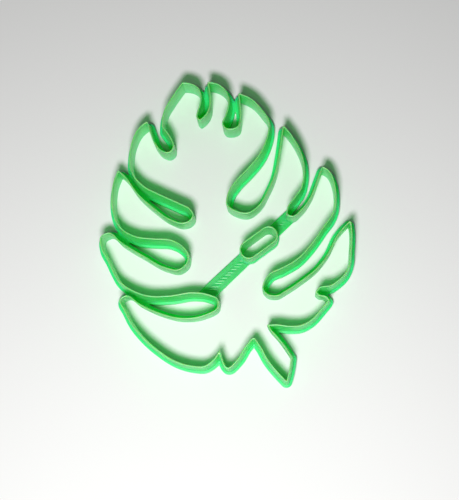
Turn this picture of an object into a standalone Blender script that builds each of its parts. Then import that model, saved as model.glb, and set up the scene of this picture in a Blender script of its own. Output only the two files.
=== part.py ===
"""A cookie cutter in the shape of a monstera leaf, printed as one piece.

It lies on its wide foot with the thin cutting edge up. The outline is one closed wall, upright on the leaf's
side and thicker towards the foot on the other side. A low bar crosses the leaf's inside and carries an
oval ring, which cuts the hole beside the midrib. Lengths are in millimetres until a mesh is made.
The leaf's midrib runs along +Y, the tip lobe is at +Y and the stem at -Y.
"""

import math

import bmesh
import bpy
import numpy as np
from mathutils import Matrix, Vector
from mathutils.geometry import delaunay_2d_cdt

MM = 0.001

# The wall, measured outwards from its upright face
WALL_HEIGHT = 14.0
BLADE_WIDTH = 0.5
BLADE_FROM = 9.0
WEB_WIDTH = 1.2
FOOT_WIDTH = 2.0
FOOT_HEIGHT = 3.2

# The radius that closes gaps too narrow to print
GAP_FILLET = 0.22

# The bar across the leaf's inside; the taper is how much narrower it gets with each millimetre
BAR_CENTRE = (9.5, -6.25)
BAR_TURN = math.radians(31.6)
BAR_WIDTH = 4.75
BAR_TAPER = 0.017
BAR_HEIGHT = 2.0
BAR_FROM = -29.0
BAR_TO = 18.0
BAR_BITE = 1.0

# How far a cutting solid reaches past the body that it cuts
OVERSHOOT = 1.0

# The oval ring on the bar
RING_CENTRE = (9.25, -6.85)
RING_TURN = math.radians(24.5)
RING_LENGTH = 14.5
RING_WIDTH = 6.3
RING_BLADE_FROM = 9.0
RING_WEB_WIDTH = 1.1
RING_FOOT_WIDTH = 0.35
RING_FOOT_HEIGHT = 2.6
RING_SIDES = 40

# How finely the curves are drawn
POINT_STEP = 1.25
POINT_BEND = math.radians(15.0)
ROUND_BEND = math.radians(24.0)
CROSSING_BEND = math.radians(5.0)
SAME_POINT = 0.02

GREEN = (0.10, 0.62, 0.20, 1.0)
ROUGHNESS = 0.4

CORNER = True

# The upright face seen from above, counter-clockwise from the stem's tip: x, y, and CORNER where it has one.
# A run named after a lobe goes round that lobe's tip, and a run named after a slit goes round the slit's end.
STEM_RIGHT = ((8.8, -54.2, CORNER), (10.6, -50.4), (11.8, -47.0, CORNER), (11.1, -45.1), (9.9, -42.2),
              (8.4, -39.2), (7.0, -36.8), (6.3, -34.6, CORNER))
BASE_RIGHT = ((9.7, -35.1), (13.5, -36.4), (17.6, -36.9), (21.0, -35.9), (25.0, -33.1), (28.0, -30.7, CORNER))
SLIT_RIGHT_4 = ((27.3, -29.6), (25.2, -28.6), (24.5, -27.3), (26.1, -25.8))
LOBE_RIGHT_4 = ((29.5, -25.9), (33.0, -24.6), (35.9, -22.5), (37.5, -20.0), (39.0, -15.0), (40.3, -10.0),
                (40.7, -6.6, CORNER), (36.1, -10.0), (32.0, -15.3), (27.3, -19.4), (20.2, -23.0), (15.2, -25.0))
SLIT_RIGHT_3 = ((11.7, -26.0), (8.6, -25.0), (7.2, -22.9), (8.3, -20.0), (10.9, -17.7), (15.2, -16.7),
                (21.0, -14.7), (26.0, -11.2))
LOBE_RIGHT_3 = ((31.4, -6.2), (35.7, -2.0), (37.7, 3.4), (38.1, 8.0), (36.8, 12.6), (35.7, 13.5, CORNER),
                (33.5, 10.0), (30.1, 4.8), (26.0, 0.9))
SLIT_RIGHT_2 = ((22.3, -0.8), (20.4, 0.4), (21.1, 2.8), (24.3, 5.9), (27.0, 8.6))
LOBE_RIGHT_2 = ((28.7, 12.5), (29.5, 17.5), (28.9, 22.0), (27.5, 26.3), (25.7, 30.0, CORNER), (24.0, 25.0),
                (22.0, 19.8), (19.8, 14.8), (16.3, 9.8))
SLIT_RIGHT_1 = ((12.1, 5.2), (7.8, 3.5), (3.6, 5.1), (1.2, 7.8), (2.3, 11.6), (5.9, 15.5), (11.1, 19.1),
                (15.6, 22.8))
LOBE_RIGHT_1 = ((18.5, 26.6), (20.3, 30.2), (20.9, 33.4), (19.6, 36.9), (16.8, 41.6), (13.3, 44.3, CORNER),
                (12.9, 40.0), (12.1, 36.0))
SLIT_TIP_RIGHT = ((10.8, 33.4), (8.2, 32.9), (6.0, 33.8), (5.4, 35.6), (7.0, 38.3), (8.6, 41.3))
LOBE_TIP = ((9.1, 44.0), (8.5, 46.9), (6.2, 49.4), (3.8, 50.4, CORNER), (3.5, 45.0), (2.2, 41.2))
SLIT_TIP_LEFT = ((-0.6, 38.7), (-1.8, 38.3), (-2.7, 39.6), (-1.9, 41.9), (-0.7, 44.0))
LOBE_LEFT_1 = ((0.0, 46.2), (-0.4, 49.4), (-2.7, 51.4), (-4.9, 52.1, CORNER), (-9.6, 47.6), (-12.5, 44.3),
               (-14.0, 40.8), (-14.4, 38.9, CORNER), (-13.3, 36.7), (-12.3, 33.9))
SLIT_LEFT_1 = ((-12.0, 31.8), (-12.8, 30.2), (-14.5, 29.5), (-16.9, 30.7), (-18.5, 33.4), (-19.2, 37.0))
LOBE_LEFT_2 = ((-19.7, 41.3, CORNER), (-22.1, 40.1), (-25.5, 35.9), (-27.3, 31.2), (-27.9, 27.3), (-27.2, 24.0),
               (-25.2, 20.6))
SLIT_LEFT_2 = ((-20.0, 16.2), (-14.2, 11.9), (-11.0, 9.2), (-10.3, 6.8), (-12.0, 5.0), (-14.8, 4.7),
               (-18.5, 6.7), (-23.8, 12.3), (-28.0, 18.2))
LOBE_LEFT_3 = ((-31.0, 24.7), (-32.4, 26.6, CORNER), (-34.2, 23.8), (-35.9, 19.2), (-36.6, 14.0), (-36.2, 10.1),
               (-34.6, 6.9), (-30.9, 3.9))
SLIT_LEFT_3 = ((-25.0, 1.9), (-19.8, 0.4), (-16.2, -2.5), (-14.6, -5.9), (-15.7, -8.9), (-19.2, -10.6),
               (-23.5, -8.9), (-30.0, -3.5), (-36.7, 2.8))
LOBE_LEFT_4 = ((-40.0, 6.6), (-42.2, 6.0), (-42.8, 2.5), (-41.6, -1.8), (-40.6, -5.9), (-39.2, -9.9),
               (-36.2, -13.3), (-31.0, -16.6))
SLIT_LEFT_4 = ((-23.5, -18.2), (-15.9, -18.7), (-11.0, -20.4), (-8.0, -22.8), (-8.4, -25.5), (-14.0, -27.5),
               (-21.0, -27.0), (-29.0, -23.3), (-34.7, -19.0))
BASE_LEFT = ((-38.4, -15.6), (-40.0, -16.2), (-39.3, -20.0), (-38.0, -24.6), (-35.6, -29.3), (-31.3, -35.1),
             (-25.7, -40.4), (-21.1, -42.8), (-17.0, -43.7), (-14.1, -42.5), (-10.8, -39.4, CORNER))
SCALLOP = ((-10.6, -43.1), (-9.6, -45.8), (-6.1, -44.0), (-1.8, -39.7), (1.1, -37.9))
STEM_LEFT = ((2.5, -40.5), (4.3, -46.0))

OUTLINE = (STEM_RIGHT + BASE_RIGHT + SLIT_RIGHT_4 + LOBE_RIGHT_4 + SLIT_RIGHT_3 + LOBE_RIGHT_3 + SLIT_RIGHT_2
           + LOBE_RIGHT_2 + SLIT_RIGHT_1 + LOBE_RIGHT_1 + SLIT_TIP_RIGHT + LOBE_TIP + SLIT_TIP_LEFT + LOBE_LEFT_1
           + SLIT_LEFT_1 + LOBE_LEFT_2 + SLIT_LEFT_2 + LOBE_LEFT_3 + SLIT_LEFT_3 + LOBE_LEFT_4 + SLIT_LEFT_4
           + BASE_LEFT + SCALLOP + STEM_LEFT)


def smooth_line(knots):
    """Points of a smooth closed line through the knots, which breaks at the corners."""
    places = [Vector(knot[:2]) for knot in knots]
    corner = [len(knot) > 2 for knot in knots]
    count = len(places)
    reach = [(places[(i + 1) % count] - places[i]).length for i in range(count)]
    heading = [(places[(i + 1) % count] - places[i]) / reach[i] for i in range(count)]

    def tangent(i):
        before, after = reach[i - 1], reach[i]
        return (heading[i - 1] * after + heading[i] * before) / (before + after)

    points = []
    for i in range(count):
        end = (i + 1) % count
        leave = None if corner[i] else tangent(i)
        arrive = None if corner[end] else tangent(end)
        if leave is None and arrive is None:
            leave = arrive = heading[i]
        elif leave is None:
            leave = heading[i] * 1.5 - arrive * 0.5
        elif arrive is None:
            arrive = heading[i] * 1.5 - leave * 0.5
        parts = max(1, math.ceil(reach[i] / POINT_STEP), math.ceil(leave.angle(arrive) / POINT_BEND))
        for part in range(parts):
            t = part / parts
            points.append(places[i] * (2 * t**3 - 3 * t**2 + 1) + leave * reach[i] * (t**3 - 2 * t**2 + t)
                          + places[end] * (3 * t**2 - 2 * t**3) + arrive * reach[i] * (t**3 - t**2))
    return points


def raw_offset(points, distance):
    """The line moved outwards, or inwards by a negative distance; where it crosses itself it is cleaned later."""
    moved = []
    count = len(points)
    for i, point in enumerate(points):
        into = (point - points[i - 1]).normalized()
        out = (points[(i + 1) % count] - point).normalized()
        side_in = Vector((into.y, -into.x)) * distance
        side_out = Vector((out.y, -out.x)) * distance
        turn = math.atan2(into.cross(out), into.dot(out))
        opening = math.copysign(turn, turn * distance)
        if opening < -CROSSING_BEND:
            moved += [point + side_in, point, point + side_out]
        elif opening < ROUND_BEND:
            moved.append(point + (side_in + side_out) / (1.0 + side_in.normalized().dot(side_out.normalized())))
        else:
            steps = math.ceil(opening / ROUND_BEND)
            for step in range(steps + 1):
                angle = turn * step / steps
                c, s = math.cos(angle), math.sin(angle)
                moved.append(point + Vector((side_in.x * c - side_in.y * s, side_in.x * s + side_in.y * c)))
    return moved


def winding(loop, places):
    """How many times the closed loop goes round each place."""
    turns = np.zeros(len(places), int)
    for a, b in zip(loop, loop[1:] + loop[:1]):
        side = (b.x - a.x) * (places[:, 1] - a.y) - (b.y - a.y) * (places[:, 0] - a.x)
        turns += ((a.y <= places[:, 1]) & (b.y > places[:, 1]) & (side > 0)).astype(int)
        turns -= ((a.y > places[:, 1]) & (b.y <= places[:, 1]) & (side < 0)).astype(int)
    return turns


def triangulate(loops):
    """Points and triangles of the plane cut along the loops, and each triangle's middle."""
    points = [p for loop in loops for p in loop]
    edges = []
    first = 0
    for loop in loops:
        edges += [(first + i, first + (i + 1) % len(loop)) for i in range(len(loop))]
        first += len(loop)
    places, _, faces, _, _, _ = delaunay_2d_cdt(points, edges, [], 0, 1e-4)
    middles = np.array([sum((places[i] for i in face), Vector((0.0, 0.0))) / 3.0 for face in faces])
    return places, faces, middles


def border_loops(places, faces):
    """The closed loops round a set of triangles, with the triangles on their left."""
    edges = {(face[i - 1], face[i]) for face in faces for i in range(3)}
    follow = {a: b for a, b in edges if (b, a) not in edges}
    loops = []
    while follow:
        start, here = follow.popitem()
        loop = [start]
        while here != start:
            loop.append(here)
            here = follow.pop(here)
        loops.append([places[i] for i in loop])
    return loops


def thinned(loop):
    """The loop without points that all but touch the one before."""
    return [p for i, p in enumerate(loop) if (p - loop[i - 1]).length > SAME_POINT]


def moved_loops(loops, distance):
    """The clean loops at a distance outside the given ones, or inside them by a negative distance."""
    raw = [raw_offset(loop, distance) for loop in loops]
    places, faces, middles = triangulate(raw)
    inside = sum(winding(loop, middles) for loop in raw) > 0
    borders = border_loops(places, [face for face, keep in zip(faces, inside) if keep])
    return [thinned(loop) for loop in borders if len(loop) > 3]


def grown(points, distance):
    """The loops at a distance outside the outline, with the gaps closed that are too narrow to print."""
    return moved_loops(moved_loops([points], distance + GAP_FILLET), -GAP_FILLET)


class Shell:
    """A closed mesh put together from flat, sloped and upright bands that share their points."""

    def __init__(self):
        self.mesh = bmesh.new()
        self.known = {}

    def vert(self, place, z):
        key = (round(place.x, 4), round(place.y, 4), round(z, 4))
        if key not in self.known:
            self.known[key] = self.mesh.verts.new((place.x * MM, place.y * MM, z * MM))
        return self.known[key]

    def face(self, corners):
        if len(set(corners)) == len(corners):
            self.mesh.faces.new(corners)

    def band(self, inner, outer, height, inner_z, outer_z, down=False):
        """The surface between two sets of loops; height says which loop a point is on."""
        places, faces, middles = triangulate(inner + outer)
        keep = np.zeros(len(middles), int)
        for loop in outer:
            keep += winding(loop, middles)
        for loop in inner:
            keep -= winding(loop, middles)
        for face, wanted in zip(faces, keep > 0):
            if wanted:
                corners = [self.vert(places[i], inner_z if height(places[i]) else outer_z) for i in face]
                self.face(corners[::-1] if down else corners)

    def upright(self, loops, low, high, outwards=True):
        """A vertical band on each loop."""
        for loop in loops:
            for a, b in zip(loop, loop[1:] + loop[:1]):
                corners = [self.vert(a, low), self.vert(b, low), self.vert(b, high), self.vert(a, high)]
                self.face(corners if outwards else corners[::-1])


def to_object(mesh, name):
    """An object from a bmesh, with every face split into triangles and turned outwards."""
    bmesh.ops.triangulate(mesh, faces=mesh.faces[:])
    bmesh.ops.recalc_face_normals(mesh, faces=mesh.faces[:])
    data = bpy.data.meshes.new(name)
    mesh.to_mesh(data)
    mesh.free()
    made = bpy.data.objects.new(name, data)
    bpy.context.scene.collection.objects.link(made)
    return made


def on_loop(loops):
    """A test that tells whether a place is a point of the loops."""
    keys = {(round(p.x, 4), round(p.y, 4)) for loop in loops for p in loop}
    return lambda place: (round(place.x, 4), round(place.y, 4)) in keys


def wall(face_line):
    """The outline's wall with its blade, its sloped web and its foot."""
    inner = [face_line]
    blade = grown(face_line, BLADE_WIDTH)
    web = grown(face_line, WEB_WIDTH)
    foot = grown(face_line, FOOT_WIDTH)
    shell = Shell()
    shell.upright(inner, 0.0, WALL_HEIGHT, outwards=False)
    shell.band(inner, blade, on_loop(inner), WALL_HEIGHT, WALL_HEIGHT)
    shell.upright(blade, BLADE_FROM, WALL_HEIGHT)
    shell.band(blade, web, on_loop(blade), BLADE_FROM, FOOT_HEIGHT)
    shell.band(web, foot, on_loop(web), FOOT_HEIGHT, FOOT_HEIGHT)
    shell.upright(foot, 0.0, FOOT_HEIGHT)
    shell.band(inner, foot, on_loop(inner), 0.0, 0.0, down=True)
    return to_object(shell.mesh, "cutter")


def stack(levels, name):
    """A closed solid through loops of equal length, each with its height, from the bottom up."""
    mesh = bmesh.new()
    rings = [[mesh.verts.new((p.x * MM, p.y * MM, z * MM)) for p in loop] for loop, z in levels]
    for low, high in zip(rings, rings[1:]):
        for i in range(len(low)):
            mesh.faces.new((low[i - 1], low[i], high[i], high[i - 1]))
    mesh.faces.new(rings[0][::-1])
    mesh.faces.new(rings[-1])
    return to_object(mesh, name)


def stadium(inset):
    """The ring's outline with straight sides and round ends, moved inwards by the inset."""
    radius = RING_WIDTH / 2.0 - inset
    half = (RING_LENGTH - RING_WIDTH) / 2.0
    along = Vector((math.cos(RING_TURN), math.sin(RING_TURN)))
    points = []
    for end in (1.0, -1.0):
        middle = Vector(RING_CENTRE) + along * half * end
        for side in range(RING_SIDES // 2 + 1):
            angle = RING_TURN - math.pi / 2.0 * end + math.pi * side / (RING_SIDES // 2)
            points.append(middle + Vector((math.cos(angle), math.sin(angle))) * radius)
    return points


def bar_strip():
    """The bar's four corners, longer than the room between the walls."""
    along = Vector((math.cos(BAR_TURN), math.sin(BAR_TURN)))
    across = Vector((-along.y, along.x))
    middle = Vector(BAR_CENTRE)
    corners = ((BAR_FROM, -1.0), (BAR_TO, -1.0), (BAR_TO, 1.0), (BAR_FROM, 1.0))
    return [middle + along * reach + across * side * (BAR_WIDTH - BAR_TAPER * reach) / 2.0
            for reach, side in corners]


def combine(target, other, operation):
    """Apply one Boolean to the target and remove the other object."""
    step = target.modifiers.new("join", "BOOLEAN")
    step.operation = operation
    step.solver = "MANIFOLD"
    step.object = other
    evaluated = target.evaluated_get(bpy.context.evaluated_depsgraph_get())
    result = bpy.data.meshes.new_from_object(evaluated)
    target.modifiers.clear()
    old = target.data
    target.data = result
    bpy.data.meshes.remove(old)
    bpy.data.objects.remove(other)


def printed_plastic():
    """Mint-green printed plastic with a soft gloss."""
    material = bpy.data.materials.new("green_plastic")
    material.use_nodes = True
    shader = material.node_tree.nodes["Principled BSDF"]
    shader.inputs["Base Color"].default_value = GREEN
    shader.inputs["Roughness"].default_value = ROUGHNESS
    shader.inputs["Metallic"].default_value = 0.0
    return material


def build():
    for old in list(bpy.data.objects):
        bpy.data.objects.remove(old)

    line = smooth_line(OUTLINE)
    edge = [p for loop in grown(line, FOOT_WIDTH) for p in loop]
    shift = Vector((-(min(p.x for p in edge) + max(p.x for p in edge)) / 2.0,
                    -(min(p.y for p in edge) + max(p.y for p in edge)) / 2.0))

    cutter = wall(line)
    bar = stack([(bar_strip(), 0.0), (bar_strip(), BAR_HEIGHT)], "bar")
    reach = max(grown(line, BAR_BITE), key=len)
    combine(bar, stack([(reach, -OVERSHOOT), (reach, WALL_HEIGHT)], "reach"), "INTERSECT")
    combine(cutter, bar, "UNION")
    combine(cutter, stack([(stadium(0.0), 0.0), (stadium(0.0), WALL_HEIGHT)], "ring"), "UNION")
    foot = stadium(-RING_FOOT_WIDTH)
    combine(cutter, stack([(foot, 0.0), (foot, RING_FOOT_HEIGHT)], "ring_foot"), "UNION")
    hole = [(stadium(RING_WEB_WIDTH), -OVERSHOOT), (stadium(RING_WEB_WIDTH), BAR_HEIGHT),
            (stadium(BLADE_WIDTH), RING_BLADE_FROM), (stadium(BLADE_WIDTH), WALL_HEIGHT + OVERSHOOT)]
    combine(cutter, stack(hole, "hole"), "DIFFERENCE")

    cutter.data.transform(Matrix.Translation((shift.x * MM, shift.y * MM, 0.0)))
    cutter.data.materials.clear()
    cutter.data.materials.append(printed_plastic())


build()
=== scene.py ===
"""The looks of a printed monstera leaf cookie cutter: fine print lines, plastic, floor, light and camera.

Lengths are in millimetres in the leaf's own frame until a mesh is made. There the midrib runs along +Y, and
+Z is up.
"""

import math

import bmesh
import bpy
import numpy as np
from mathutils import Matrix, Vector
from mathutils.geometry import delaunay_2d_cdt


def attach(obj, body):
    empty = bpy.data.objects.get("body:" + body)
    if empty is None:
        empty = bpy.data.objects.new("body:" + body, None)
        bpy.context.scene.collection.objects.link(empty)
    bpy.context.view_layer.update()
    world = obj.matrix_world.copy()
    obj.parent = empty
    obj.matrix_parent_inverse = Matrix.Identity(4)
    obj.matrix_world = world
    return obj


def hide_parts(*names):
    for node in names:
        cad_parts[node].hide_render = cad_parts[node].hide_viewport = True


MM = 0.001

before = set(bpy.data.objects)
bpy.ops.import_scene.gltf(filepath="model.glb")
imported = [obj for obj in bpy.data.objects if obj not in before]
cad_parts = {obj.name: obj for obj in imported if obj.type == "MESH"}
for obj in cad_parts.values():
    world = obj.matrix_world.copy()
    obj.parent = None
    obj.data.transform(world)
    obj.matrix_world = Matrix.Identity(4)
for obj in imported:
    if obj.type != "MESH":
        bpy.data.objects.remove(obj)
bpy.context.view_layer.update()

# The wall, measured outwards from its upright face
WALL_HEIGHT = 14.0
BLADE_WIDTH = 0.5
BLADE_FROM = 9.0
WEB_WIDTH = 1.2
FOOT_WIDTH = 2.0
FOOT_HEIGHT = 3.2
GAP_FILLET = 0.22
RIM_RISE = 0.2
RIM_STEPS = 6
WEB_STEPS = 5
UPRIGHT_STEPS = 12

# The bar across the leaf's inside. The taper is how much narrower it gets with each millimetre, and the bite
# is how far its ends reach into the walls
BAR_CENTRE = (9.5, -6.25)
BAR_TURN = math.radians(31.6)
BAR_WIDTH = 4.75
BAR_TAPER = 0.017
BAR_HEIGHT = 2.0
BAR_FROM = -29.0
BAR_TO = 18.0
BAR_BITE = 0.8

# The oval ring on the bar; the bar stops inside its web, at the inset
RING_CENTRE = (9.25, -6.85)
RING_TURN = math.radians(24.5)
RING_LENGTH = 14.5
RING_WIDTH = 6.3
RING_BLADE_FROM = 9.0
RING_WEB_WIDTH = 1.1
RING_FOOT_WIDTH = 0.35
RING_FOOT_HEIGHT = 2.6
RING_SIDES = 96
HOLE_INSET = 0.6 * RING_WEB_WIDTH

# How finely the curves are drawn, and when two points count as one
POINT_STEP = 0.6
POINT_BEND = math.radians(8.0)
ROUND_BEND = math.radians(12.0)
CROSSING_BEND = math.radians(5.0)
SAME_POINT = 0.02
CUT_CLOSENESS = 1e-4
KEY_DIGITS = 4

# Print lines: a line's width and how far its back stands out, and the layers' height
LINE_PITCH = 0.44
LINE_RISE = 0.09
LINE_STEPS = 5
LAYER_PITCH = 0.2

# The bar's top: lines along its sides and a short zigzag across between them. The waver bends the zigzag, and
# it turns by so many radians a millimetre along and across the bar
BAR_GRID = 0.11
SIDE_LINES = 4
HATCH_PITCH = 0.97
HATCH_TURN = math.radians(-11.7)
HATCH_DEPTH = 0.06
HATCH_SHARPNESS = 3
WAVER = 0.12
WAVER_ALONG = 1.7
WAVER_ACROSS = 2.3

# Edges that turn by more than this keep a hard shade: on the wall and ring, and on the bar's fine grid
WALL_CREASE = math.radians(40.0)
BAR_CREASE = math.radians(60.0)

# Camera: where it is and what it looks at, leaf frame
CAMERA_PLACE = (4.476, -71.27, 512.88)
CAMERA_AIM = (-1.0, -5.8, 2.0)
CAMERA_TURN = math.radians(11.7)
CAMERA_LENS = 107.5

# Light: the lamp's place south of the leaf in metres, and the even light from all round
LAMP_AWAY = 0.1425
LAMP_HEIGHT = 0.3965
LAMP_LEAN = 0.065
LAMP_TURN = CAMERA_TURN + math.radians(5.3)
LAMP_SIZE = 0.08
LAMP_POWER = 1.93
SURROUND = 0.10

# The floor
FLOOR_HALF = 1.5
FLOOR_COLOUR = (0.80, 0.80, 0.79, 1.0)
FLOOR_ROUGHNESS = 0.7

# The plastic's surface, and how far light spreads in it in metres
PLASTIC = {"Roughness": 0.34, "Specular IOR Level": 0.65, "IOR": 1.46, "Sheen Weight": 0.05,
           "Sheen Roughness": 0.4, "Subsurface Weight": 1.0, "Subsurface Radius": (0.1, 1.0, 0.4),
           "Subsurface Scale": 0.003}

# The wall's green, which changes a little in soft patches
DARK_GREEN = (0.02, 0.74, 0.12, 1.0)
LIGHT_GREEN = (0.04, 0.84, 0.155, 1.0)
PATCH_RANGE = (0.3, 0.7)
PATCH_SCALE = 160.0
PATCH_DETAIL = 4.0

# The fine layer lines' bump: how uneven and how strong they are, and their depth
LAYER_WOBBLE = 0.6
LAYER_STRENGTH = 0.5
LAYER_DEPTH = 0.04

# A face takes the painted highlight and painted shade for faces that look up as its normal's Z crosses this
# range
LEVEL_RANGE = (0.2, 0.8)

# The rims' paler green, a painted highlight for the light the thin top line catches and lets through, and the
# heights between which it sets in
RIM_HIGHLIGHT = (0.23, 0.89, 0.20, 1.0)
RIM_HIGHLIGHT_ZONE = (13.0, 13.5)

# The bar's deeper green, painted shade where the floor's light comes up through it least, and the heights
# where it ends
BAR_SHADE = (0.01, 0.58, 0.13, 1.0)
BAR_SHADE_ZONE = (2.1, 2.5)

# The foot's lighter, bluer green, painted light for the lamp's light that comes through the plastic low on
# the wall, and the heights between which it fades out
FOOT_GLOW = (0.03, 0.79, 0.225, 1.0)
FOOT_GLOW_ZONE = (4.0, 8.0)

# The share of the lamp's light that passes each of a wall's two faces, at the thick foot and the thin blade
FOOT_THROUGH = (0.02, 0.26, 0.05, 1.0)
BLADE_THROUGH = (0.18, 0.48, 0.20, 1.0)

CORNER = True

# The upright face seen from above, counter-clockwise from the stem's tip: x, y, and CORNER where it has one
STEM_RIGHT = ((8.8, -54.2, CORNER), (10.6, -50.4), (11.8, -47.0, CORNER), (11.1, -45.1), (9.9, -42.2),
              (8.4, -39.2), (7.0, -36.8), (6.3, -34.6, CORNER))
BASE_RIGHT = ((9.7, -35.1), (13.5, -36.4), (17.6, -36.9), (21.0, -35.9), (25.0, -33.1),
              (28.0, -30.7, CORNER))
SLIT_RIGHT_4 = ((27.3, -29.6), (25.2, -28.6), (24.5, -27.3), (26.1, -25.8))
LOBE_RIGHT_4 = ((29.5, -25.9), (33.0, -24.6), (35.9, -22.5), (37.5, -20.0), (39.0, -15.0), (40.3, -10.0),
                (40.7, -6.6, CORNER), (36.1, -10.0), (32.0, -15.3), (27.3, -19.4), (20.2, -23.0),
                (15.2, -25.0))
SLIT_RIGHT_3 = ((11.7, -26.0), (8.6, -25.0), (7.2, -22.9), (8.3, -20.0), (10.9, -17.7), (15.2, -16.7),
                (21.0, -14.7), (26.0, -11.2))
LOBE_RIGHT_3 = ((31.4, -6.2), (35.7, -2.0), (37.7, 3.4), (38.1, 8.0), (36.8, 12.6), (35.7, 13.5, CORNER),
                (33.5, 10.0), (30.1, 4.8), (26.0, 0.9))
SLIT_RIGHT_2 = ((22.3, -0.8), (20.4, 0.4), (21.1, 2.8), (24.3, 5.9), (27.0, 8.6))
LOBE_RIGHT_2 = ((28.7, 12.5), (29.5, 17.5), (28.9, 22.0), (27.5, 26.3), (25.7, 30.0, CORNER),
                (24.0, 25.0), (22.0, 19.8), (19.8, 14.8), (16.3, 9.8))
SLIT_RIGHT_1 = ((12.1, 5.2), (7.8, 3.5), (3.6, 5.1), (1.2, 7.8), (2.3, 11.6), (5.9, 15.5), (11.1, 19.1),
                (15.6, 22.8))
LOBE_RIGHT_1 = ((18.5, 26.6), (20.3, 30.2), (20.9, 33.4), (19.6, 36.9), (16.8, 41.6),
                (13.3, 44.3, CORNER), (12.9, 40.0), (12.1, 36.0))
SLIT_TIP_RIGHT = ((10.8, 33.4), (8.2, 32.9), (6.0, 33.8), (5.4, 35.6), (7.0, 38.3), (8.6, 41.3))
LOBE_TIP = ((9.1, 44.0), (8.5, 46.9), (6.2, 49.4), (3.8, 50.4, CORNER), (3.5, 45.0), (2.2, 41.2))
SLIT_TIP_LEFT = ((-0.6, 38.7), (-1.8, 38.3), (-2.7, 39.6), (-1.9, 41.9), (-0.7, 44.0))
LOBE_LEFT_1 = ((0.0, 46.2), (-0.4, 49.4), (-2.7, 51.4), (-4.9, 52.1, CORNER), (-9.6, 47.6),
               (-12.5, 44.3), (-14.0, 40.8), (-14.4, 38.9, CORNER), (-13.3, 36.7), (-12.3, 33.9))
SLIT_LEFT_1 = ((-12.0, 31.8), (-12.8, 30.2), (-14.5, 29.5), (-16.9, 30.7), (-18.5, 33.4), (-19.2, 37.0))
LOBE_LEFT_2 = ((-19.7, 41.3, CORNER), (-22.1, 40.1), (-25.5, 35.9), (-27.3, 31.2), (-27.9, 27.3),
               (-27.2, 24.0), (-25.2, 20.6))
SLIT_LEFT_2 = ((-20.0, 16.2), (-14.2, 11.9), (-11.0, 9.2), (-10.3, 6.8), (-12.0, 5.0), (-14.8, 4.7),
               (-18.5, 6.7), (-23.8, 12.3), (-28.0, 18.2))
LOBE_LEFT_3 = ((-31.0, 24.7), (-32.4, 26.6, CORNER), (-34.2, 23.8), (-35.9, 19.2), (-36.6, 14.0),
               (-36.2, 10.1), (-34.6, 6.9), (-30.9, 3.9))
SLIT_LEFT_3 = ((-25.0, 1.9), (-19.8, 0.4), (-16.2, -2.5), (-14.6, -5.9), (-15.7, -8.9), (-19.2, -10.6),
               (-23.5, -8.9), (-30.0, -3.5), (-36.7, 2.8))
LOBE_LEFT_4 = ((-40.0, 6.6), (-42.2, 6.0), (-42.8, 2.5), (-41.6, -1.8), (-40.6, -5.9), (-39.2, -9.9),
               (-36.2, -13.3), (-31.0, -16.6))
SLIT_LEFT_4 = ((-23.5, -18.2), (-15.9, -18.7), (-11.0, -20.4), (-8.0, -22.8), (-8.4, -25.5),
               (-14.0, -27.5), (-21.0, -27.0), (-29.0, -23.3), (-34.7, -19.0))
BASE_LEFT = ((-38.4, -15.6), (-40.0, -16.2), (-39.3, -20.0), (-38.0, -24.6), (-35.6, -29.3),
             (-31.3, -35.1), (-25.7, -40.4), (-21.1, -42.8), (-17.0, -43.7), (-14.1, -42.5),
             (-10.8, -39.4, CORNER))
SCALLOP = ((-10.6, -43.1), (-9.6, -45.8), (-6.1, -44.0), (-1.8, -39.7), (1.1, -37.9))
STEM_LEFT = ((2.5, -40.5), (4.3, -46.0))

OUTLINE = (STEM_RIGHT + BASE_RIGHT + SLIT_RIGHT_4 + LOBE_RIGHT_4 + SLIT_RIGHT_3 + LOBE_RIGHT_3
           + SLIT_RIGHT_2 + LOBE_RIGHT_2 + SLIT_RIGHT_1 + LOBE_RIGHT_1 + SLIT_TIP_RIGHT + LOBE_TIP
           + SLIT_TIP_LEFT + LOBE_LEFT_1 + SLIT_LEFT_1 + LOBE_LEFT_2 + SLIT_LEFT_2 + LOBE_LEFT_3
           + SLIT_LEFT_3 + LOBE_LEFT_4 + SLIT_LEFT_4 + BASE_LEFT + SCALLOP + STEM_LEFT)


def smooth_line(knots):
    """Points of a smooth closed line through the knots, which breaks at the corners."""
    places = [Vector(knot[:2]) for knot in knots]
    corner = [len(knot) > 2 for knot in knots]
    count = len(places)
    reach = [(places[(i + 1) % count] - places[i]).length for i in range(count)]
    heading = [(places[(i + 1) % count] - places[i]) / reach[i] for i in range(count)]

    def tangent(i):
        """The line's way through a knot without a corner."""
        before, after = reach[i - 1], reach[i]
        return (heading[i - 1] * after + heading[i] * before) / (before + after)

    points = []
    for i in range(count):
        end = (i + 1) % count
        leave = None if corner[i] else tangent(i)
        arrive = None if corner[end] else tangent(end)
        # At a corner the line takes the way that lets its bend fade out
        if leave is None and arrive is None:
            leave = arrive = heading[i]
        elif leave is None:
            leave = heading[i] * 1.5 - arrive * 0.5
        elif arrive is None:
            arrive = heading[i] * 1.5 - leave * 0.5
        parts = max(1, math.ceil(reach[i] / POINT_STEP), math.ceil(leave.angle(arrive) / POINT_BEND))
        for part in range(parts):
            t = part / parts
            points.append(places[i] * (2 * t**3 - 3 * t**2 + 1)
                          + leave * reach[i] * (t**3 - 2 * t**2 + t)
                          + places[end] * (3 * t**2 - 2 * t**3)
                          + arrive * reach[i] * (t**3 - t**2))
    return points


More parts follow.
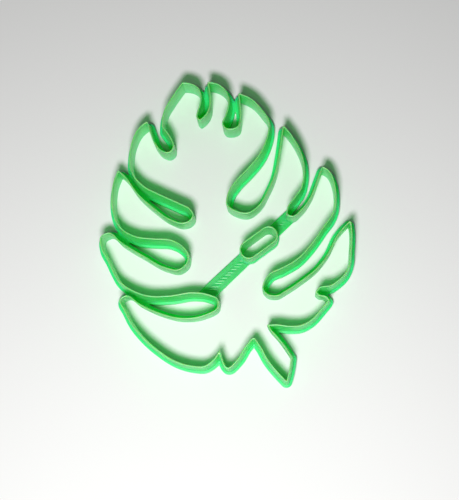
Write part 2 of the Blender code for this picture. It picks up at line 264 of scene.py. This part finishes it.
def raw_offset(points, distance):
    """The line moved outwards, or inwards by a negative distance, still with the loops where it crosses."""
    moved = []
    count = len(points)
    for i, point in enumerate(points):
        into = (point - points[i - 1]).normalized()
        out = (points[(i + 1) % count] - point).normalized()
        side_in = Vector((into.y, -into.x)) * distance
        side_out = Vector((out.y, -out.x)) * distance
        turn = math.atan2(into.cross(out), into.dot(out))
        opening = math.copysign(turn, turn * distance)
        if opening < -CROSSING_BEND:
            moved += [point + side_in, point, point + side_out]
        elif opening < ROUND_BEND:
            likeness = side_in.normalized().dot(side_out.normalized())
            moved.append(point + (side_in + side_out) / (1.0 + likeness))
        else:
            steps = math.ceil(opening / ROUND_BEND)
            for step in range(steps + 1):
                angle = turn * step / steps
                c, s = math.cos(angle), math.sin(angle)
                moved.append(point + Vector((side_in.x * c - side_in.y * s, side_in.x * s + side_in.y * c)))
    return moved


def winding(loop, places):
    """How many times the closed loop goes round each place."""
    turns = np.zeros(len(places), int)
    for a, b in zip(loop, loop[1:] + loop[:1]):
        side = (b.x - a.x) * (places[:, 1] - a.y) - (b.y - a.y) * (places[:, 0] - a.x)
        turns += ((a.y <= places[:, 1]) & (b.y > places[:, 1]) & (side > 0)).astype(int)
        turns -= ((a.y > places[:, 1]) & (b.y <= places[:, 1]) & (side < 0)).astype(int)
    return turns


def triangulate(loops):
    """Points and triangles of the plane cut along the loops, and each triangle's middle."""
    points = [p for loop in loops for p in loop]
    edges = []
    first = 0
    for loop in loops:
        edges += [(first + i, first + (i + 1) % len(loop)) for i in range(len(loop))]
        first += len(loop)
    places, _, faces, _, _, _ = delaunay_2d_cdt(points, edges, [], 0, CUT_CLOSENESS)
    middles = np.array([sum((places[i] for i in face), Vector((0.0, 0.0))) / 3.0 for face in faces])
    return places, faces, middles


def border_loops(places, faces):
    """The closed loops round a set of triangles, with the triangles on their left."""
    edges = {(face[i - 1], face[i]) for face in faces for i in range(3)}
    follow = {a: b for a, b in edges if (b, a) not in edges}
    loops = []
    while follow:
        start, here = follow.popitem()
        loop = [start]
        while here != start:
            loop.append(here)
            here = follow.pop(here)
        loops.append([places[i] for i in loop])
    return loops


def thinned(loop):
    """The loop without points that all but touch the one before."""
    return [p for i, p in enumerate(loop) if (p - loop[i - 1]).length > SAME_POINT]


def moved_loops(loops, distance):
    """The clean loops at a distance outside the given ones, or inside them by a negative distance."""
    raw = [raw_offset(loop, distance) for loop in loops]
    places, faces, middles = triangulate(raw)
    inside = sum(winding(loop, middles) for loop in raw) > 0
    borders = border_loops(places, [face for face, keep in zip(faces, inside) if keep])
    return [thinned(loop) for loop in borders if len(loop) > 3]


def grown(points, distance):
    """The loops at a distance outside the outline, with the gaps closed that are too narrow to print."""
    return moved_loops(moved_loops([points], distance + GAP_FILLET), -GAP_FILLET)


def in_metres(place, z):
    """A mesh point from a place seen from above and a height, both in millimetres."""
    return (place.x * MM, place.y * MM, z * MM)


def place_key(place):
    """The place, rounded so that bands that meet find the same points."""
    return (round(place.x, KEY_DIGITS), round(place.y, KEY_DIGITS))


class Shell:
    """A closed mesh put together from flat, sloped and upright bands that share their points."""

    def __init__(self):
        self.mesh = bmesh.new()
        self.known = {}

    def vert(self, place, z):
        """The mesh's point at a place and height, made when it is first asked for."""
        key = (*place_key(place), round(z, KEY_DIGITS))
        if key not in self.known:
            self.known[key] = self.mesh.verts.new(in_metres(place, z))
        return self.known[key]

    def face(self, corners):
        """A face, unless two of its corners are the same point."""
        if len(set(corners)) == len(corners):
            self.mesh.faces.new(corners)

    def band(self, inner, outer, inner_z, outer_z, down=False):
        """The surface between two sets of loops, each at its own height."""
        places, faces, middles = triangulate(inner + outer)
        inner_keys = {place_key(p) for loop in inner for p in loop}
        keep = np.zeros(len(middles), int)
        for loop in outer:
            keep += winding(loop, middles)
        for loop in inner:
            keep -= winding(loop, middles)
        for face, wanted in zip(faces, keep > 0):
            if wanted:
                corners = [self.vert(places[i], inner_z if place_key(places[i]) in inner_keys else outer_z)
                           for i in face]
                self.face(corners[::-1] if down else corners)

    def upright(self, loops, heights, outwards=True):
        """A vertical band on each loop, cut at the heights."""
        for loop in loops:
            for low, high in zip(heights, heights[1:]):
                for a, b in zip(loop, loop[1:] + loop[:1]):
                    corners = [self.vert(a, low), self.vert(b, low), self.vert(b, high), self.vert(a, high)]
                    self.face(corners if outwards else corners[::-1])


def to_object(mesh, name, crease=WALL_CREASE):
    """A smooth-shaded object from a bmesh, in metres, moved to the CAD part's origin."""
    bmesh.ops.recalc_face_normals(mesh, faces=mesh.faces[:])
    data = bpy.data.meshes.new(name)
    mesh.to_mesh(data)
    mesh.free()
    data.transform(Matrix.Translation(ORIGIN_SHIFT))
    data.shade_smooth()
    data.set_sharp_from_angle(angle=crease)
    made = bpy.data.objects.new(name, data)
    bpy.context.scene.collection.objects.link(made)
    return made


def bead(start, width, top, rise, steps):
    """One printed line's rounded back as (distance, height), without its first point."""
    points = []
    for step in range(1, steps + 1):
        t = step / steps
        distance = start + width * (0.5 - 0.5 * math.cos(math.pi * t))
        points.append((distance, top - rise + rise * math.sin(math.pi * t)))
    return points


def profile():
    """The wall's outer side as (distance from the upright face, height), from the rim down to the foot."""
    points = bead(0.0, BLADE_WIDTH, WALL_HEIGHT, RIM_RISE, RIM_STEPS)
    for step in range(1, WEB_STEPS + 1):
        t = step / WEB_STEPS
        points.append((BLADE_WIDTH + (WEB_WIDTH - BLADE_WIDTH) * t,
                       BLADE_FROM + (FOOT_HEIGHT - LINE_RISE - BLADE_FROM) * t))
    lines = round((FOOT_WIDTH - WEB_WIDTH) / LINE_PITCH)
    width = (FOOT_WIDTH - WEB_WIDTH) / lines
    for line in range(lines):
        points += bead(WEB_WIDTH + width * line, width, FOOT_HEIGHT, LINE_RISE, LINE_STEPS)
    return points


def make_wall(line):
    """The cutting wall with its rim, blade, web and foot."""
    shell = Shell()
    inner = [line]
    loops, height = inner, WALL_HEIGHT - RIM_RISE
    shell.upright(inner, [height * k / UPRIGHT_STEPS for k in range(UPRIGHT_STEPS + 1)], outwards=False)
    for distance, z in profile():
        next_loops = grown(line, distance)
        shell.band(loops, next_loops, height, z)
        if distance == BLADE_WIDTH:
            shell.upright(next_loops, [BLADE_FROM, z])
            z = BLADE_FROM
        loops, height = next_loops, z
    shell.upright(loops, [0.0, height])
    shell.band(inner, loops, 0.0, 0.0, down=True)
    return to_object(shell.mesh, "cutter_wall")


def stadium(inset):
    """The ring's outline with straight sides and round ends, moved inwards by the inset."""
    radius = RING_WIDTH / 2.0 - inset
    half = (RING_LENGTH - RING_WIDTH) / 2.0
    along = Vector((math.cos(RING_TURN), math.sin(RING_TURN)))
    points = []
    for end in (1.0, -1.0):
        middle = Vector(RING_CENTRE) + along * half * end
        for side in range(RING_SIDES // 2 + 1):
            angle = RING_TURN - math.pi / 2.0 * end + math.pi * side / (RING_SIDES // 2)
            points.append(middle + Vector((math.cos(angle), math.sin(angle))) * radius)
    return points


def make_ring():
    """The oval ring: upright outside, thicker towards the bar inside."""
    levels = [(-RING_FOOT_WIDTH, 0.0), (-RING_FOOT_WIDTH, RING_FOOT_HEIGHT), (0.0, RING_FOOT_HEIGHT),
              (0.0, WALL_HEIGHT - RIM_RISE)]
    levels += bead(0.0, BLADE_WIDTH, WALL_HEIGHT, RIM_RISE, RIM_STEPS)
    levels += [(BLADE_WIDTH, RING_BLADE_FROM), (RING_WEB_WIDTH, BAR_HEIGHT), (RING_WEB_WIDTH, 0.0)]
    mesh = bmesh.new()
    rings = [[mesh.verts.new(in_metres(p, z)) for p in stadium(inset)] for inset, z in levels]
    for low, high in zip(rings, rings[1:] + rings[:1]):
        for i in range(len(low)):
            mesh.faces.new((low[i - 1], low[i], high[i], high[i - 1]))
    return to_object(mesh, "cutter_ring")


def bar_top(u, v, half):
    """Height of the bar's top: lines along both sides and a zigzag filling between them."""
    side = half - abs(v)
    if side < LINE_PITCH * SIDE_LINES:
        return BAR_HEIGHT - LINE_RISE * (1.0 - abs(math.sin(math.pi * side / LINE_PITCH)))
    lean = HATCH_TURN - BAR_TURN
    waver = WAVER * math.sin(WAVER_ALONG * u + WAVER_ACROSS * v)
    across = -u * math.sin(lean) + v * math.cos(lean) + waver
    wave = 0.5 + 0.5 * math.cos(2.0 * math.pi * across / HATCH_PITCH)
    return BAR_HEIGHT - HATCH_DEPTH * wave**HATCH_SHARPNESS


def make_bar(line):
    """The low bar with its print lines, open where the ring's hole is and ended inside the walls."""
    along = Vector((math.cos(BAR_TURN), math.sin(BAR_TURN)))
    across = Vector((-along.y, along.x))
    middle = Vector(BAR_CENTRE)
    count_u = round((BAR_TO - BAR_FROM) / BAR_GRID)
    count_v = round(BAR_WIDTH / BAR_GRID)
    hole = stadium(HOLE_INSET)
    room = max(grown(line, BAR_BITE), key=len)
    mesh = bmesh.new()
    places, tops, unders = {}, {}, {}
    for i in range(count_u + 1):
        u = BAR_FROM + (BAR_TO - BAR_FROM) * i / count_u
        half = (BAR_WIDTH - BAR_TAPER * u) / 2.0
        for j in range(count_v + 1):
            v = half * (2.0 * j / count_v - 1.0)
            places[i, j] = middle + along * u + across * v
            tops[i, j] = mesh.verts.new(in_metres(places[i, j], bar_top(u, v, half)))
            unders[i, j] = mesh.verts.new(in_metres(places[i, j], 0.0))
    cells = [(i, j) for i in range(count_u) for j in range(count_v)]
    centres = np.array([(places[i, j] + places[i + 1, j + 1]) / 2.0 for i, j in cells])
    kept = (winding(hole, centres) <= 0) & (winding(room, centres) > 0)
    filled = dict.fromkeys(cell for cell, keep in zip(cells, kept) if keep)
    for i, j in filled:
        corners = [(i, j), (i + 1, j), (i + 1, j + 1), (i, j + 1)]
        mesh.faces.new([tops[corner] for corner in corners])
        mesh.faces.new([unders[corner] for corner in corners][::-1])
        for k, beyond in enumerate(((i, j - 1), (i + 1, j), (i, j + 1), (i - 1, j))):
            if beyond not in filled:
                a, b = corners[k], corners[(k + 1) % 4]
                mesh.faces.new([unders[a], unders[b], tops[b], tops[a]])
    loose = [v for v in mesh.verts if not v.link_faces]
    bmesh.ops.delete(mesh, geom=loose, context="VERTS")
    return to_object(mesh, "cutter_bar", BAR_CREASE)


def plastic():
    """Green printed plastic that lets some light through, with layer lines round its upright faces, and with
    light and shade painted into its green: a glow low on the wall, shade on the bar's top and a highlight on
    the rims.
    """
    material = bpy.data.materials.new("green_plastic")
    material.use_nodes = True
    nodes, links = material.node_tree.nodes, material.node_tree.links
    shader = nodes["Principled BSDF"]
    for name, value in PLASTIC.items():
        shader.inputs[name].default_value = value

    def ramp(value, low, high, start=0.0, end=1.0):
        """A factor that goes from start to end as the value goes from low to high."""
        node = nodes.new("ShaderNodeMapRange")
        for name, number in (("From Min", low), ("From Max", high), ("To Min", start), ("To Max", end)):
            node.inputs[name].default_value = number
        links.new(value, node.inputs["Value"])
        return node.outputs["Result"]

    def product(first, second):
        """Two factors multiplied."""
        node = nodes.new("ShaderNodeMath")
        node.operation = "MULTIPLY"
        links.new(first, node.inputs[0])
        links.new(second, node.inputs[1])
        return node.outputs["Value"]

    def tinted(colour, factor, tint):
        """The colour, changed to the tint as far as the factor says."""
        node = nodes.new("ShaderNodeMixRGB")
        node.inputs["Color2"].default_value = tint
        links.new(factor, node.inputs["Fac"])
        links.new(colour, node.inputs["Color1"])
        return node.outputs["Color"]

    def z_of(vector):
        """The Z part of a vector."""
        node = nodes.new("ShaderNodeSeparateXYZ")
        links.new(vector, node.inputs["Vector"])
        return node.outputs["Z"]

    place = nodes.new("ShaderNodeTexCoord")
    noise = nodes.new("ShaderNodeTexNoise")
    noise.inputs["Scale"].default_value = PATCH_SCALE
    noise.inputs["Detail"].default_value = PATCH_DETAIL
    links.new(place.outputs["Object"], noise.inputs["Vector"])
    patches = nodes.new("ShaderNodeValToRGB")
    for stop, position, colour in zip(patches.color_ramp.elements, PATCH_RANGE, (DARK_GREEN, LIGHT_GREEN)):
        stop.position = position
        stop.color = colour
    links.new(noise.outputs["Fac"], patches.inputs["Fac"])

    height = z_of(place.outputs["Object"])
    level = ramp(z_of(place.outputs["Normal"]), *LEVEL_RANGE)
    # Painted light: the low wall and foot are lighter, for light that comes through the plastic
    painted_foot_glow = ramp(height, FOOT_GLOW_ZONE[0] * MM, FOOT_GLOW_ZONE[1] * MM, 1.0, 0.0)
    # Painted shade on the bar's top
    painted_bar_shade = product(level, ramp(height, BAR_SHADE_ZONE[0] * MM, BAR_SHADE_ZONE[1] * MM, 1.0, 0.0))
    # Painted highlight on the rims' tops
    painted_rim_highlight = product(level, ramp(height, RIM_HIGHLIGHT_ZONE[0] * MM, RIM_HIGHLIGHT_ZONE[1] * MM))
    green = tinted(patches.outputs["Color"], painted_foot_glow, FOOT_GLOW)
    green = tinted(green, painted_bar_shade, BAR_SHADE)
    green = tinted(green, painted_rim_highlight, RIM_HIGHLIGHT)
    links.new(green, shader.inputs["Base Color"])

    # The wave texture's phase is 20 times its scale times Z, so this scale gives one band to each layer
    layers = nodes.new("ShaderNodeTexWave")
    layers.bands_direction = "Z"
    layers.inputs["Scale"].default_value = math.pi / (10.0 * LAYER_PITCH * MM)
    layers.inputs["Distortion"].default_value = LAYER_WOBBLE
    links.new(place.outputs["Object"], layers.inputs["Vector"])
    bump = nodes.new("ShaderNodeBump")
    bump.inputs["Strength"].default_value = LAYER_STRENGTH
    bump.inputs["Distance"].default_value = LAYER_DEPTH * MM
    links.new(layers.outputs["Fac"], bump.inputs["Height"])
    links.new(bump.outputs["Normal"], shader.inputs["Normal"])

    # Shadow rays pass each face with the loss that its height gives
    passed = nodes.new("ShaderNodeMixRGB")
    passed.inputs["Color1"].default_value = FOOT_THROUGH
    passed.inputs["Color2"].default_value = BLADE_THROUGH
    links.new(ramp(height, FOOT_HEIGHT * MM, WALL_HEIGHT * MM), passed.inputs["Fac"])
    through = nodes.new("ShaderNodeBsdfTransparent")
    links.new(passed.outputs["Color"], through.inputs["Color"])
    path = nodes.new("ShaderNodeLightPath")
    mix = nodes.new("ShaderNodeMixShader")
    links.new(path.outputs["Is Shadow Ray"], mix.inputs["Fac"])
    links.new(shader.outputs["BSDF"], mix.inputs[1])
    links.new(through.outputs["BSDF"], mix.inputs[2])
    links.new(mix.outputs["Shader"], nodes["Material Output"].inputs["Surface"])
    return material


def make_floor():
    """A plain pale table top."""
    mesh = bmesh.new()
    bmesh.ops.create_grid(mesh, x_segments=1, y_segments=1, size=FLOOR_HALF)
    data = bpy.data.meshes.new("floor")
    mesh.to_mesh(data)
    mesh.free()
    floor = bpy.data.objects.new("floor", data)
    bpy.context.scene.collection.objects.link(floor)
    material = bpy.data.materials.new("pale_floor")
    material.use_nodes = True
    shader = material.node_tree.nodes["Principled BSDF"]
    shader.inputs["Base Color"].default_value = FLOOR_COLOUR
    shader.inputs["Roughness"].default_value = FLOOR_ROUGHNESS
    floor.data.materials.append(material)


def make_light():
    """One soft lamp to the south and a pale surround."""
    data = bpy.data.lights.new("key", "AREA")
    data.shape = "DISK"
    data.size = LAMP_SIZE
    data.energy = LAMP_POWER
    lamp = bpy.data.objects.new("key", data)
    bpy.context.scene.collection.objects.link(lamp)
    south = Vector((-math.sin(LAMP_TURN), -math.cos(LAMP_TURN), 0.0))
    lamp.location = south * LAMP_AWAY + Vector((0.0, 0.0, LAMP_HEIGHT))
    down = south * LAMP_LEAN - Vector((0.0, 0.0, LAMP_HEIGHT))
    lamp.rotation_euler = down.to_track_quat("-Z", "Y").to_euler()

    world = bpy.data.worlds.new("surround")
    world.use_nodes = True
    world.node_tree.nodes["Background"].inputs["Color"].default_value = (1.0, 1.0, 1.0, 1.0)
    world.node_tree.nodes["Background"].inputs["Strength"].default_value = SURROUND
    bpy.context.scene.world = world


def make_camera():
    """The camera above the leaf, a little towards the stem."""
    data = bpy.data.cameras.new("camera")
    data.lens = CAMERA_LENS
    camera = bpy.data.objects.new("camera", data)
    bpy.context.scene.collection.objects.link(camera)
    place = Vector(CAMERA_PLACE) * MM + ORIGIN_SHIFT
    aim = Vector(CAMERA_AIM) * MM + ORIGIN_SHIFT
    ahead = (aim - place).normalized()
    up_hint = Vector((math.sin(CAMERA_TURN), math.cos(CAMERA_TURN), 0.0))
    right = ahead.cross(up_hint).normalized()
    up = right.cross(ahead)
    turn = Matrix((right, up, -ahead)).transposed()
    camera.matrix_world = Matrix.Translation(place) @ turn.to_4x4()
    bpy.context.scene.camera = camera


upright_line = smooth_line(OUTLINE)
edge = [p for loop in grown(upright_line, FOOT_WIDTH) for p in loop]
ORIGIN_SHIFT = Vector((-(min(p.x for p in edge) + max(p.x for p in edge)) / 2.0,
                       -(min(p.y for p in edge) + max(p.y for p in edge)) / 2.0, 0.0)) * MM

green = plastic()
for piece in (make_wall(upright_line), make_ring(), make_bar(upright_line)):
    piece.data.materials.append(green)
    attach(piece, "root")
    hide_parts("cutter")

make_floor()
make_light()
make_camera()
bpy.context.scene.view_settings.view_transform = "Standard"
